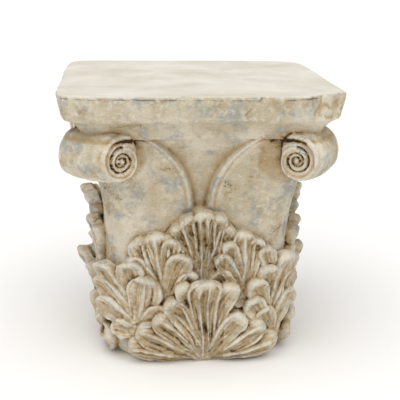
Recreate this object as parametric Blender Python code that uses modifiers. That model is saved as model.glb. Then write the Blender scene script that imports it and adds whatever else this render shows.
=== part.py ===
"""Corinthian capital cast in one piece: a thick square slab on four corner scrolls,
with two tiers of acanthus leaves round a bell that has an arched panel on each side.

Every form is a closed shape laid on the bell's own skin. They are united by a voxel
remesh, thinned out, and cut flat at the foot and at the top.
"""
import math

import bmesh
import bpy
import numpy as np

# Driving sizes, in metres
SLAB_WIDTH = 0.450
SLAB_DEPTH = 0.455
SLAB_THICKNESS = 0.042
SLAB_TAPER = 0.009
SLAB_EDGE = 0.004
SLAB_WAVE = 0.0012
SLAB_BOW = 0.0020
COVE_HEIGHT = 0.030
COVE_START = math.radians(26.0)
HEIGHT = 0.463
BELL_WIDTH = 0.314
LIP_INSET = 0.023
FOOT_TUCK = 0.020
FOOT_TUCK_HEIGHT = 0.045
PANEL_DEPTH = 0.012
PANEL_EDGE = 0.008
RIM_HEIGHT = 0.0045
RIM_WIDTH = 0.018
STALK_SWELL = 0.008
STALK_HOLLOW = 0.004
SCROLL_RADIUS = 0.0425
SCROLL_RELIEF = 0.006
SCROLL_GROOVE = 0.012
SCROLL_GROOVE_WIDTH = 0.0054
SCROLL_INSET = 0.0235
SCROLL_SHRINK = 0.54
SCROLL_TURN = math.radians(32.0)
BREAK_DEPTH = 0.044
BREAK_LUMP = 0.006
BREAK_LUMP_LENGTH = 0.09
BREAK_CHIP = 0.0035
BREAK_CHIP_LENGTH = 0.03
LEAF_THICKNESS = 0.020
LEAF_DOME = 0.013
LEAF_SEAT = 0.003
TIP_SWELL = 0.0025
CURL_POWER = 2.6
LEAF_WANDER = 0.0025
CHANNEL_DEPTH = 0.009

# Shares of the slab's width, in which the carving keeps its proportions
W = SLAB_WIDTH
SCROLL_ALONG = (0.314 * W, 0.288 * W)
SCROLL_OUT = SLAB_WIDTH / 2 - SCROLL_INSET
LIP_WIDTH = SLAB_WIDTH - 2 * LIP_INSET
SCROLL_HEIGHT = HEIGHT - 0.233 * W
QUARTER = math.radians(90.0)

# Mesh sizes, in metres and triangles
VOXEL = 0.0026
TRIANGLES = 9600
SCROLL_CARE = 0.08
CUT_MARGIN = 0.006
NORMAL_STEP = 0.004
LOBE_STEPS = 36
LOBE_SPAN = 21

STONE = "lime washed cast stone"
STONE_COLOUR = (0.474, 0.413, 0.309, 1.0)
STONE_ROUGHNESS = 0.9


def clear_scene():
    """Remove every object, so that the script starts from nothing."""
    for item in list(bpy.data.objects):
        bpy.data.objects.remove(item, do_unlink=True)


def smoothstep(value):
    """0 below 0, 1 above 1, with a soft S between."""
    t = np.clip(value, 0.0, 1.0)
    return t * t * (3.0 - 2.0 * t)


def bump(value, width):
    """A round hill of height 1 at 0, fading over the given width."""
    return np.exp(-(value / width) ** 2)


def ripple(x, y, z, wave):
    """Uneven but repeatable waves between about -1 and 1, as hammered stone has."""
    a, b, c = x / wave, y / wave, z / wave
    swell = np.sin(6.1 * a + 2.3 * np.sin(3.7 * c + 1.0)) * np.cos(5.3 * c + 1.9 * np.sin(4.1 * b))
    chop = np.sin(13.7 * b + 2.9 * np.sin(9.1 * a)) * np.cos(11.9 * c + 1.7 * a)
    return 0.65 * swell + 0.35 * chop


def squarish(angle, power):
    """Radius of a rounded square of half width 1 at an angle from its face's middle."""
    return (np.abs(np.sin(angle)) ** power + np.abs(np.cos(angle)) ** power) ** (-1.0 / power)


def bell_half_width(z):
    """Half width of the bell: straight, tucked in at the foot, flaring to the lip."""
    flare = np.clip((z - 0.55 * W) / (0.39 * W), 0.0, 1.2) ** 1.7
    tuck = np.clip(1.0 - z / FOOT_TUCK_HEIGHT, 0.0, 1.5) ** 2
    return 0.5 * BELL_WIDTH + 0.5 * (LIP_WIDTH - BELL_WIDTH) * flare - FOOT_TUCK * tuck


def bell_power(z):
    """Squareness of the bell's plan, rounder at the foot than at the lip."""
    return 4.0 + 2.0 * smoothstep((z / W - 0.3) / 0.5)


# A flat measure along the skin, from a face's middle, and the angle that it stands for
_angles = np.linspace(-QUARTER / 2, QUARTER / 2, 801)
_radii = squarish(_angles, 4.0) * 0.35 * W
_steps = np.hypot(np.diff(_radii * np.sin(_angles)), np.diff(_radii * np.cos(_angles)))
_along = np.concatenate([[0.0], np.cumsum(_steps)])
SIDE = _along[-1]
_along = _along - SIDE / 2


def angle_of(along):
    """Turn a length along the skin into an angle round the capital's axis."""
    side = np.round(along / SIDE)
    return side * QUARTER + np.interp(along - side * SIDE, _along, _angles)


def skin(along, z):
    """Point of the plain bell at a length along its side and a height."""
    angle = angle_of(along)
    radius = bell_half_width(z) * squarish(angle, bell_power(z))
    return np.stack([radius * np.sin(angle), -radius * np.cos(angle), z + 0.0 * radius], axis=-1)


def skin_normal(along, z):
    """Outward direction of the plain bell, from two small steps across it."""
    across = skin(along + NORMAL_STEP, z) - skin(along - NORMAL_STEP, z)
    upward = skin(along, z + NORMAL_STEP) - skin(along, z - NORMAL_STEP)
    normal = np.cross(across, upward)
    return normal / np.linalg.norm(normal, axis=-1, keepdims=True)


def turned(points, quarter_turns):
    """Turn points about the capital's axis by a number of quarter turns."""
    angle = quarter_turns * QUARTER
    c, s = math.cos(angle), math.sin(angle)
    x, y, z = points[..., 0], points[..., 1], points[..., 2]
    return np.stack([c * x - s * y, s * x + c * y, z], axis=-1)


def loft(rings):
    """Closed shape through rings of points, all with the same count, capped at both ends."""
    count, ring = rings.shape[:2]
    index = np.arange(count * ring).reshape(count, ring)
    low, high = index[:-1], index[1:]
    sides = np.stack([low, np.roll(low, -1, axis=1), np.roll(high, -1, axis=1), high], axis=-1)
    faces = sides.reshape(-1, 4).tolist()
    faces.append(index[0][::-1].tolist())
    faces.append(index[-1].tolist())
    return rings.reshape(-1, 3), faces


def arch_reach(z):
    """Half width of the panel between the arches: a quarter ellipse on each side."""
    rise = np.clip((z / W - 0.60) / 0.29, 0.0, 1.0)
    return W * (0.29 - 0.265 * np.sqrt(1.0 - rise ** 2))


def bell():
    """The bell, with a sunk panel between two arches on each face and a raised rim."""
    z = np.linspace(-CUT_MARGIN, HEIGHT - SLAB_THICKNESS, 150)[:, None]
    angle = np.linspace(-math.pi, math.pi, 400, endpoint=False)[None, :]
    radius = bell_half_width(z) * squarish(angle, bell_power(z))
    local = angle - QUARTER * np.round(angle / QUARTER)
    across = np.abs(radius * np.sin(local))
    inside = arch_reach(z) - across
    height = smoothstep((z / W - 0.585) / 0.03)
    fading = 1.0 - smoothstep((z / W - 0.79) / 0.09)
    sink = PANEL_DEPTH * smoothstep(inside / PANEL_EDGE + 0.5) * height * fading
    ridge = RIM_HEIGHT * bump(inside + 0.6 * RIM_WIDTH, 0.6 * RIM_WIDTH) * height
    diagonal = np.abs(np.abs(local) - QUARTER / 2)
    stalk = STALK_SWELL * bump(diagonal, math.radians(11.0)) - STALK_HOLLOW * bump(
        diagonal - math.radians(19.0), math.radians(5.0))
    stalk = stalk * smoothstep((z / W - 0.42) / 0.25)
    radius = radius + ridge - sink + stalk
    rings = np.stack([radius * np.sin(angle), -radius * np.cos(angle), z + 0.0 * radius], axis=-1)
    return loft(rings)


def slab():
    """The square slab with a cove under it, and one front corner knocked off."""
    under = HEIGHT - SLAB_THICKNESS
    cove = np.linspace(COVE_START, math.radians(90.0), 12)
    side = np.linspace(0.0, 1.0, 16)
    cove_z = under - COVE_HEIGHT * (1.0 - np.sin(cove)) / (1.0 - math.sin(COVE_START))
    cove_depth = SLAB_WIDTH / 2 - SLAB_TAPER - bell_half_width(under - COVE_HEIGHT)
    cove_in = cove_depth * np.cos(cove) / math.cos(COVE_START) + SLAB_TAPER
    side_z = under + SLAB_THICKNESS * side
    rounding = np.clip(1.0 - side / 0.12, 0, 1) ** 2 + np.clip((side - 0.9) / 0.1, 0, 1) ** 2
    side_in = SLAB_TAPER * (1.0 - side) ** 1.3 + SLAB_EDGE * rounding
    over_z = np.array([HEIGHT + CUT_MARGIN])
    z = np.concatenate([cove_z[:-1], side_z, over_z])[:, None]
    inset = np.concatenate([cove_in[:-1], side_in, side_in[-1:]])[:, None]
    angle = np.linspace(-math.pi, math.pi, 480, endpoint=False)[None, :]
    shape = squarish(angle, 11.0)
    x = shape * np.sin(angle) * (SLAB_WIDTH / 2 - inset)
    y = -shape * np.cos(angle) * (SLAB_DEPTH / 2 - inset)
    x = x + SLAB_WAVE * np.sin(17.0 * x / W) * np.sin(11.0 * y / W)
    y = y + SLAB_BOW * np.sin(9.0 * x / W + 0.6)
    x, y = knock_corner(x, y, z + 0.0 * x)
    return loft(np.stack([x, y, z + 0.0 * x], axis=-1))


def knock_corner(x, y, z):
    """Press everything past a slanting, rough plane at the front right corner onto it."""
    out_x, out_y = math.cos(math.radians(-52.0)), math.sin(math.radians(-52.0))
    corner = SLAB_WIDTH / 2 * out_x - SLAB_DEPTH / 2 * out_y
    lumps = BREAK_LUMP * ripple(x, y, z, BREAK_LUMP_LENGTH)
    chips = BREAK_CHIP * ripple(y, z, x, BREAK_CHIP_LENGTH)
    limit = corner - BREAK_DEPTH + lumps + chips
    excess = np.clip(x * out_x + y * out_y - limit, 0.0, None)
    return x - excess * out_x, y - excess * out_y


def scroll_disc(reach, turn, side):
    """Points of one spiral disc at a share of its radius and a turn about its middle.

    The edge winds in to SCROLL_SHRINK of its radius in one turn, and swells back to
    meet the arch; the groove follows the same spiral, turn after turn, to the eye.
    """
    wound = ((math.pi / 2 - turn) / (2 * math.pi)) % 1.0
    spiral = SCROLL_RADIUS * SCROLL_SHRINK ** wound
    closing = 1.0 + (1.0 / SCROLL_SHRINK - 1.0) * smoothstep((wound - 0.78) / 0.22)
    radius = reach * spiral * closing
    turns_in = np.log(spiral / np.maximum(radius, 1e-5)) / math.log(1.0 / SCROLL_SHRINK)
    phase = turns_in - np.floor(turns_in)
    eye = smoothstep((radius - 0.05 * SCROLL_RADIUS) / (0.05 * SCROLL_RADIUS))
    inner = smoothstep((turns_in - 0.4) / 0.3)
    lips = bump(phase - 0.16, 0.13) + 0.8 * bump(phase - 0.80, 0.11)
    away = np.minimum(phase, 1.0 - phase) * math.log(1.0 / SCROLL_SHRINK) * radius
    narrowing = 0.4 + 0.6 * radius / SCROLL_RADIUS
    groove = bump(away, SCROLL_GROOVE_WIDTH * narrowing) * inner
    relief = SCROLL_RELIEF * 0.6 * lips - SCROLL_GROOVE * groove
    relief = relief * eye * smoothstep((1.0 - reach) / 0.06)
    relief = relief + 0.6 * SCROLL_RELIEF * (1.0 - reach ** 1.5)
    outward = np.cos(turn) * radius
    x = SCROLL_ALONG[side] + outward * math.cos(SCROLL_TURN) - relief * math.sin(SCROLL_TURN)
    y = -SCROLL_OUT - outward * math.sin(SCROLL_TURN) - relief * math.cos(SCROLL_TURN)
    z = SCROLL_HEIGHT + np.sin(turn) * radius
    if side > 0:
        x, y = -y, -x
    return np.stack([x, y, z + 0.0 * x], axis=-1)


def scroll():
    """A corner scroll: a bulging barrel between a spiral disc on each of two faces."""
    turn = np.linspace(0.0, 2 * math.pi, 128, endpoint=False)[None, :]
    reach = np.linspace(0.01, 1.0, 40)[:, None]
    front = scroll_disc(reach, turn, 0)
    right = scroll_disc(reach, turn, 1)
    share = np.linspace(0.0, 1.0, 18)[1:-1, None, None]
    barrel = front[-1] * (1.0 - share) + right[-1] * share
    middle = barrel.mean(axis=1, keepdims=True)
    waist = 1.0 + 0.10 * np.sin(math.pi * share) ** 0.7 - 0.06 * bump(share - 0.06, 0.05)
    waist = waist - 0.06 * bump(share - 0.94, 0.05)
    barrel = middle + (barrel - middle) * waist
    return loft(np.concatenate([front, barrel, right[::-1]]))


def wander(flat):
    """Shift places on the skin by a few millimetres, as a hand that draws them would."""
    u, z = flat[..., 0] / W, flat[..., 1] / W
    across = np.sin(17.0 * z + 2.0 * np.sin(9.0 * u))
    upward = np.sin(19.0 * u + 2.0 * np.sin(11.0 * z))
    shift = np.stack([across, upward], axis=-1)
    return flat + LEAF_WANDER * shift


def lobe(root, tip, bend, widths, lifts, channels, dome):
    """One lobe of a leaf: a fleshy finger laid along a curve on the bell.

    root and tip are (length along the skin, height); bend pushes the middle sideways;
    widths are half widths at the root and near the tip; lifts raise root and tip.
    Its back is a round dome with a number of channels that end in a smooth, swollen tip.
    """
    root, tip = np.array(root), np.array(tip)
    run = tip - root
    length = np.hypot(*run)
    aside = np.array([run[1], -run[0]]) / length
    t = np.linspace(0.0, 1.0, LOBE_STEPS)[:, None]
    handle = (root + tip) / 2 + aside * bend
    path = root * (1 - t) ** 2 + handle * 2 * t * (1 - t) + tip * t ** 2
    way = 2 * (1 - t) * (handle - root) + 2 * t * (tip - handle)
    way = way / np.linalg.norm(way, axis=1, keepdims=True)
    side = np.stack([way[:, 1], -way[:, 0]], axis=-1)
    start = 1.0 - min(0.8, 1.1 * widths[1] / length)
    end = np.clip((t - start) / (1.0 - start), 0.0, 1.0)
    wide = widths[0] + (widths[1] - widths[0]) * np.minimum(t / start, 1.0) ** 0.9
    s = np.linspace(-1.0, 1.0, LOBE_SPAN)[None, :]
    narrow = np.sqrt(np.maximum(1.0 - end ** 2, 0.0004))
    across = s * narrow
    rho = np.sqrt(across ** 2 + end ** 2)
    lift = lifts[0] + (lifts[1] - lifts[0]) * t ** CURL_POWER
    grow = 0.45 + 0.55 * smoothstep(t / 0.6)
    back = dome * grow * np.sqrt(np.maximum(1.0 - rho ** 4, 0.0))
    knob = TIP_SWELL * bump(t - 0.92, 0.10) * (1.0 - across ** 2)
    channel = np.abs(np.sin(math.pi * channels * (across / 1.7 + 0.5))) * (np.abs(across) < 0.85)
    channel = channel * smoothstep((0.97 - t) / 0.16) * smoothstep(t / 0.12) * grow
    top = lift + back + knob - CHANNEL_DEPTH * channel
    low = lift - LEAF_THICKNESS * (1.0 - 0.5 * t) + 0.0 * across
    flat = wander(path[:, None, :] + side[:, None, :] * (wide * across)[..., None])
    base = skin(flat[..., 0], flat[..., 1])
    out = skin_normal(flat[..., 0], flat[..., 1])
    upper = base + out * top[..., None]
    lower = base + out * low[..., None]
    rings = np.concatenate([upper, lower[:, ::-1]], axis=1)
    return loft(rings[:, ::-1])


def leaf(root, lobes):
    """A leaf of several lobes that fan out from one root.

    Each lobe is (angle from upright in degrees, length, half width near the tip, lift of
    the tip, shift of its own root up the leaf, channels), lengths as shares of the slab's
    width; a lobe with no channels is a low pad that fills the leaf's middle.
    """
    parts = []
    for angle, length, width, lift, up, channels in lobes:
        turn = math.radians(angle)
        tip = (root[0] + length * math.sin(turn), root[1] + length * math.cos(turn))
        rise = math.radians(0.35 * angle)
        start = (root[0] + up * math.sin(rise), root[1] + up * math.cos(rise))
        bend = -0.10 * length * math.sin(turn)
        low_width = max(0.40 * width, 0.012)
        parts.append(lobe(
            [W * start[0], W * start[1]], [W * tip[0], W * tip[1]], W * bend,
            (W * low_width, W * width), (LEAF_SEAT, W * lift), channels,
            LEAF_DOME if channels else 0.4 * LEAF_DOME))
    return parts


LOWER_LEAF = ((0.023, -0.012), (
    (-2, 0.280, 0.140, 0.008, 0.00, 0), (46, 0.215, 0.085, 0.004, 0.02, 0),
    (-44, 0.235, 0.090, 0.004, 0.02, 0),
    (70, 0.290, 0.050, 0.012, 0.02, 2), (-72, 0.295, 0.054, 0.014, 0.02, 2),
    (51, 0.280, 0.056, 0.022, 0.02, 2), (-56, 0.300, 0.058, 0.024, 0.01, 2),
    (33, 0.264, 0.046, 0.036, 0.02, 1), (-40, 0.292, 0.054, 0.032, 0.02, 2),
    (-26, 0.320, 0.048, 0.040, 0.03, 1), (15, 0.354, 0.042, 0.050, 0.03, 1),
    (-14, 0.364, 0.040, 0.050, 0.03, 1), (-1, 0.376, 0.062, 0.088, 0.03, 3)))
UPPER_LEAF = ((0.015, 0.325), (
    (-4, 0.200, 0.085, 0.010, 0.00, 0),
    (-38, 0.236, 0.030, 0.020, 0.00, 1), (25, 0.240, 0.036, 0.026, 0.00, 1),
    (-26, 0.262, 0.036, 0.034, 0.00, 1), (13, 0.276, 0.038, 0.044, 0.00, 1),
    (-14, 0.284, 0.042, 0.048, 0.00, 1), (-1, 0.290, 0.052, 0.066, 0.00, 3)))
RIGHT_LEAF = ((0.159, 0.235), (
    (-6, 0.220, 0.060, 0.008, 0.00, 0),
    (-11, 0.298, 0.030, 0.008, 0.03, 1), (-41, 0.180, 0.044, 0.026, 0.00, 1),
    (-26, 0.228, 0.038, 0.036, 0.03, 1), (-14, 0.262, 0.034, 0.034, 0.06, 1),
    (10, 0.268, 0.036, 0.022, 0.03, 1), (0, 0.290, 0.046, 0.042, 0.06, 2)))
LEFT_LEAF = ((-0.121, 0.225), (
    (-4, 0.220, 0.070, 0.008, 0.00, 0),
    (5, 0.318, 0.028, 0.010, 0.05, 1), (36, 0.184, 0.034, 0.024, 0.00, 1),
    (-34, 0.240, 0.042, 0.018, 0.02, 1), (17, 0.226, 0.050, 0.042, 0.02, 1),
    (-22, 0.290, 0.044, 0.024, 0.06, 1), (4, 0.280, 0.036, 0.038, 0.06, 1),
    (-9, 0.296, 0.052, 0.034, 0.05, 2)))
CORNER_LEAF_A = ((-0.228, 0.130), (
    (-20, 0.190, 0.080, 0.008, 0.00, 0), (-60, 0.130, 0.060, 0.006, 0.00, 0),
    (-92, 0.095, 0.044, 0.022, 0.00, 1), (47, 0.150, 0.050, 0.028, 0.00, 1),
    (-62, 0.180, 0.050, 0.030, 0.01, 1), (-43, 0.245, 0.050, 0.036, 0.05, 1),
    (12, 0.226, 0.064, 0.046, 0.02, 2), (-3, 0.285, 0.050, 0.040, 0.08, 1),
    (-27, 0.292, 0.042, 0.046, 0.04, 1)))
CORNER_LEAF_B = ((0.278, 0.095), (
    (-4, 0.240, 0.070, 0.008, 0.00, 0),
    (-19, 0.135, 0.044, 0.024, 0.00, 1), (-30, 0.200, 0.044, 0.032, 0.02, 1),
    (30, 0.190, 0.046, 0.024, 0.00, 1), (-21, 0.258, 0.044, 0.036, 0.06, 1),
    (20, 0.275, 0.044, 0.030, 0.05, 1), (-9, 0.295, 0.040, 0.032, 0.12, 1),
    (-8, 0.372, 0.034, 0.024, 0.18, 1), (6, 0.340, 0.042, 0.038, 0.03, 1)))
FACE_LEAVES = (LOWER_LEAF, UPPER_LEAF, RIGHT_LEAF, LEFT_LEAF)
CORNER_LEAVES = (CORNER_LEAF_A, CORNER_LEAF_B)


def add_shape(shape, target):
    """Put a closed shape into the mesh that gathers them all."""
    points, faces = shape
    verts = [target.verts.new(point) for point in points]
    for face in faces:
        target.faces.new([verts[i] for i in face])


def gather():
    """All shapes of the capital in one mesh, still overlapping."""
    gathered = bmesh.new()
    add_shape(bell(), gathered)
    add_shape(slab(), gathered)
    for quarter in range(4):
        shapes = [scroll()]
        for root, lobes in FACE_LEAVES:
            shapes += leaf(root, lobes)
        if quarter % 2 == 0:
            for root, lobes in CORNER_LEAVES:
                shapes += leaf(root, lobes)
        for points, faces in shapes:
            add_shape((turned(points, quarter), faces), gathered)
    mesh = bpy.data.meshes.new("capital")
    gathered.to_mesh(mesh)
    gathered.free()
    return mesh


def keep_largest(mesh):
    """Delete every shell but the largest, such as the walls of a sealed hollow."""
    shells = bmesh.new()
    shells.from_mesh(mesh)
    seen = set()
    largest = []
    for first in shells.verts:
        if first in seen:
            continue
        seen.add(first)
        shell = [first]
        for vert in shell:
            for edge in vert.link_edges:
                other = edge.other_vert(vert)
                if other not in seen:
                    seen.add(other)
                    shell.append(other)
        if len(shell) > len(largest):
            largest = shell
    kept = set(largest)
    bmesh.ops.delete(shells, geom=[v for v in shells.verts if v not in kept], context="VERTS")
    shells.to_mesh(mesh)
    shells.free()


def evaluated_mesh(item, name):
    """The mesh of an object with its modifiers applied, as a mesh of its own."""
    bpy.context.view_layer.update()
    graph = bpy.context.evaluated_depsgraph_get()
    mesh = bpy.data.meshes.new_from_object(item.evaluated_get(graph))
    mesh.name = name
    return mesh


def on_scroll_faces(mesh):
    """Numbers of the vertices that lie on the eight spiral discs."""
    places = np.empty(3 * len(mesh.vertices))
    mesh.vertices.foreach_get("co", places)
    places = places.reshape(-1, 3)
    found = np.zeros(len(places), dtype=bool)
    c, s = math.cos(SCROLL_TURN), math.sin(SCROLL_TURN)
    front = ((SCROLL_ALONG[0], -SCROLL_OUT, SCROLL_HEIGHT), (-s, -c, 0.0))
    right = ((SCROLL_OUT, -SCROLL_ALONG[1], SCROLL_HEIGHT), (c, s, 0.0))
    for quarter in range(4):
        for centre, outward in (front, right):
            away = places - turned(np.array(centre), quarter)
            height = away @ turned(np.array(outward), quarter)
            reach = np.sqrt((away ** 2).sum(axis=1) - height ** 2)
            found |= (reach < 0.8 * SCROLL_RADIUS) & (np.abs(height) < SCROLL_GROOVE)
    return np.nonzero(found)[0].tolist()


def unite(item):
    """Make the overlapping shapes one shell by a voxel remesh, and thin it out.

    The spiral discs carry the finest carving, so their vertices are thinned out less.
    """
    remesh = item.modifiers.new("unite", "REMESH")
    remesh.mode = "VOXEL"
    remesh.voxel_size = VOXEL
    united = evaluated_mesh(item, "capital united")
    keep_largest(united)
    item.modifiers.clear()
    item.data = united
    ease = item.vertex_groups.new(name="thin out freely")
    ease.add(list(range(len(united.vertices))), 1.0, "REPLACE")
    ease.add(on_scroll_faces(united), 0.5, "REPLACE")
    triangles = sum(len(face.vertices) - 2 for face in united.polygons)
    thin = item.modifiers.new("thin out", "DECIMATE")
    thin.ratio = min(1.0, TRIANGLES / triangles)
    thin.vertex_group = ease.name
    thin.vertex_group_factor = SCROLL_CARE


def trim_flat(item, cutters):
    """Cut the foot and the top flat, with a block as high as the capital."""
    block = bmesh.new()
    bmesh.ops.create_cube(block, size=1.0)
    span = 2.0 * max(SLAB_WIDTH, SLAB_DEPTH)
    bmesh.ops.scale(block, vec=(span, span, HEIGHT), verts=block.verts)
    bmesh.ops.translate(block, vec=(0.0, 0.0, HEIGHT / 2), verts=block.verts)
    mesh = bpy.data.meshes.new("trim block")
    block.to_mesh(mesh)
    block.free()
    cutter = bpy.data.objects.new("trim block", mesh)
    cutter.display_type = "WIRE"
    cutter.hide_render = True
    cutters.objects.link(cutter)
    cut = item.modifiers.new("trim flat", "BOOLEAN")
    cut.operation = "INTERSECT"
    cut.solver = "EXACT"
    cut.object = cutter


def stone():
    """Pale lime washed cast stone."""
    material = bpy.data.materials.new(STONE)
    material.use_nodes = True
    shader = material.node_tree.nodes["Principled BSDF"]
    shader.inputs["Base Color"].default_value = STONE_COLOUR
    shader.inputs["Roughness"].default_value = STONE_ROUGHNESS
    shader.inputs["Metallic"].default_value = 0.0
    return material


def main():
    clear_scene()
    parts = bpy.data.collections.new("corinthian capital")
    cutters = bpy.data.collections.new("cutters")
    bpy.context.scene.collection.children.link(parts)
    bpy.context.scene.collection.children.link(cutters)
    capital = bpy.data.objects.new("capital", gather())
    parts.objects.link(capital)
    unite(capital)
    trim_flat(capital, cutters)
    capital.data.materials.append(stone())
    return capital


if __name__ == "__main__":
    main()
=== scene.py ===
# %% [markdown]
# # A Corinthian capital in lime washed cast stone
#
# The real object is one casting: a square slab on four corner scrolls, an arched panel on
# each side of a bell, and two tiers of acanthus leaves round its foot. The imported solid
# gives its size and outline. This lesson makes the carved surface that the eye sees, as
# one dense mesh, and gives it the brown wash and the pale dry brushing of old stone.

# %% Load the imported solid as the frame
import math
import bmesh
import bpy
import numpy as np
from mathutils import Matrix, Vector


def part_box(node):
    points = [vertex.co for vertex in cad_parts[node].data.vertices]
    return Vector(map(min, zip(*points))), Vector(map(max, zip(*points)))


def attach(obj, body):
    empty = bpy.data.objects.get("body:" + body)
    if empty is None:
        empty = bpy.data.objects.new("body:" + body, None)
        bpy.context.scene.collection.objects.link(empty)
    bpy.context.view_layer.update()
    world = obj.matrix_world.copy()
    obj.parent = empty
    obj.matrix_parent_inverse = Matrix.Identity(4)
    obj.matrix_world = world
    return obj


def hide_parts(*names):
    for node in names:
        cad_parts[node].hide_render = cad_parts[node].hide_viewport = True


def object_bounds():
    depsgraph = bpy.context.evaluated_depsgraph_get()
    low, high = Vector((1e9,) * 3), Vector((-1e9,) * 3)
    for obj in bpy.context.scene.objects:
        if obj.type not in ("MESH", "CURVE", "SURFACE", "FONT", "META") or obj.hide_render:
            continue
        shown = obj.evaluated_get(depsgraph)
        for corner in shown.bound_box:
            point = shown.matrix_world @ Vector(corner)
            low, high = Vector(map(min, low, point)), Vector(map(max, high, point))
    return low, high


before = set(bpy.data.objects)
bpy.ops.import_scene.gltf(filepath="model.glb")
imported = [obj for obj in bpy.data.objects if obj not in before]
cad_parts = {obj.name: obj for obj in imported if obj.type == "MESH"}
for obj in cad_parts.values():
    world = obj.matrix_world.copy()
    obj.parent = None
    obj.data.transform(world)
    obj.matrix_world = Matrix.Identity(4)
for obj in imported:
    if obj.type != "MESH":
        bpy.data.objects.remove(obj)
cad_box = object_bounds()
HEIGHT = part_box("capital")[1][2]
print("solid from", cad_box[0], "to", cad_box[1])

# %% [markdown]
# ## The camera
#
# The photograph was taken from a little to the left and about 15 degrees above, with a
# moderately long lens. The capital's proportions are shares of the slab's width, so the
# camera's place is written that way too.

# %% Camera at the photograph's angle
SLAB_WIDTH = 0.450
W = SLAB_WIDTH
YAW = math.radians(5.19)
PITCH = math.radians(15.44)
ROLL = math.radians(0.84)
CAMERA_DISTANCE = 3.5716 * W
CAMERA_AIM = Vector((0.0307 * W, 0.0, 0.5366 * W))

ahead = Vector((math.sin(YAW) * math.cos(PITCH), math.cos(YAW) * math.cos(PITCH), -math.sin(PITCH)))
level = ahead.cross(Vector((0.0, 0.0, 1.0))).normalized()
upright = level.cross(ahead)
side_axis = math.cos(ROLL) * level + math.sin(ROLL) * upright
up_axis = math.cos(ROLL) * upright - math.sin(ROLL) * level
camera_data = bpy.data.cameras.new("camera")
camera_data.sensor_width = 36.0
camera_data.lens = 81.0
camera = bpy.data.objects.new("camera", camera_data)
bpy.context.scene.collection.objects.link(camera)
placing = Matrix((side_axis, up_axis, -ahead)).transposed().to_4x4()
placing.translation = CAMERA_AIM - CAMERA_DISTANCE * ahead
camera.matrix_world = placing
bpy.context.scene.camera = camera
print("camera at", [round(c, 3) for c in placing.translation])

# %% [markdown]
# ## Floor and light
#
# A studio shot on a white floor that runs on to the background. One very wide, soft light
# stands high over the front, and a pale world lifts the shadows. Most light comes from
# above, so the top is the palest face and each leaf shades what lies under it.


# %% Helpers for colours and nodes
def linear(hex_colour):
    """Turn an sRGB hex colour into the linear values that a shader takes."""
    parts = [int(hex_colour[i:i + 2], 16) / 255.0 for i in (1, 3, 5)]
    bent = [c / 12.92 if c <= 0.04045 else ((c + 0.055) / 1.055) ** 2.4 for c in parts]
    return (*bent, 1.0)


def node(tree, kind, settings=None, links=None):
    """Add a node, set its properties and sockets, and link its inputs."""
    made = tree.nodes.new(kind)
    for name, value in (settings or {}).items():
        if isinstance(name, str) and hasattr(made, name):
            setattr(made, name, value)
        else:
            made.inputs[name].default_value = value
    for name, source in (links or {}).items():
        tree.links.new(source, made.inputs[name])
    return made


# %% Floor, world and lights
def plain_material(name, hex_colour, roughness):
    """A plain matt finish for the stage."""
    material = bpy.data.materials.new(name)
    material.use_nodes = True
    shader = material.node_tree.nodes["Principled BSDF"]
    shader.inputs["Base Color"].default_value = linear(hex_colour)
    shader.inputs["Roughness"].default_value = roughness
    return material


FLOOR_HALF = 60.0
floor_mesh = bpy.data.meshes.new("floor")
corners = [(-FLOOR_HALF, -FLOOR_HALF, 0), (FLOOR_HALF, -FLOOR_HALF, 0),
           (FLOOR_HALF, FLOOR_HALF, 0), (-FLOOR_HALF, FLOOR_HALF, 0)]
floor_mesh.from_pydata(corners, [], [(0, 1, 2, 3)])
floor_mesh.materials.append(plain_material("white studio floor", "#f2f1ef", 0.8))
floor = bpy.data.objects.new("floor", floor_mesh)
bpy.context.scene.collection.objects.link(floor)

world = bpy.data.worlds.new("studio")
world.use_nodes = True
world.node_tree.nodes["Background"].inputs["Color"].default_value = (1.0, 1.0, 1.0, 1.0)
world.node_tree.nodes["Background"].inputs["Strength"].default_value = 0.48
bpy.context.scene.world = world
bpy.context.scene.view_settings.view_transform = "Standard"
panel_data = bpy.data.lights.new("overhead panel", "SUN")
panel_data.energy = 2.5
panel_data.angle = math.radians(70.0)
panel = bpy.data.objects.new("overhead panel", panel_data)
panel.rotation_euler = Vector((0.15, 0.70, -1.6)).to_track_quat("-Z", "Y").to_euler()
bpy.context.scene.collection.objects.link(panel)
print("stage and lights ready")

# %% [markdown]
# ## The bell and its skin
#
# Everything is laid on the bell, whose plan is a rounded square and whose half width
# flares towards the slab. A leaf is drawn on that skin as on paper: one measure runs
# along the skin from the middle of a face, the other is the height.


# %% Small curves
def smoothstep(value):
    """3 t squared less 2 t cubed, from 0 to 1, held at 0 and 1 outside."""
    t = np.clip(value, 0.0, 1.0)
    return t * t * (3.0 - 2.0 * t)


def bump(value, width):
    """e to the minus (value over width) squared: a round hill of height 1."""
    return np.exp(-(value / width) ** 2)


def squarish(angle, power):
    """Radius of a rounded square: (|sin| to the power + |cos| to the power) to -1/power."""
    return (np.abs(np.sin(angle)) ** power + np.abs(np.cos(angle)) ** power) ** (-1.0 / power)


def stacked(x, y, z):
    """Three measures as one array of points, each stretched to the widest one's shape."""
    return np.stack(np.broadcast_arrays(x, y, z), axis=-1)


# %% Value noise on whole arrays
def lattice(i, j, k, seed):
    """A repeatable number from -1 to 1 for each whole-numbered lattice point."""
    h = (i * 374761393 + j * 668265263 + k * 2147483647 + seed * 974711) & 0xFFFFFFFF
    h = ((h ^ (h >> 13)) * 1274126177) & 0xFFFFFFFF
    h = ((h ^ (h >> 16)) * 2246822519) & 0xFFFFFFFF
    return ((h ^ (h >> 15)) & 0xFFFF) / 32767.5 - 1.0


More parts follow.
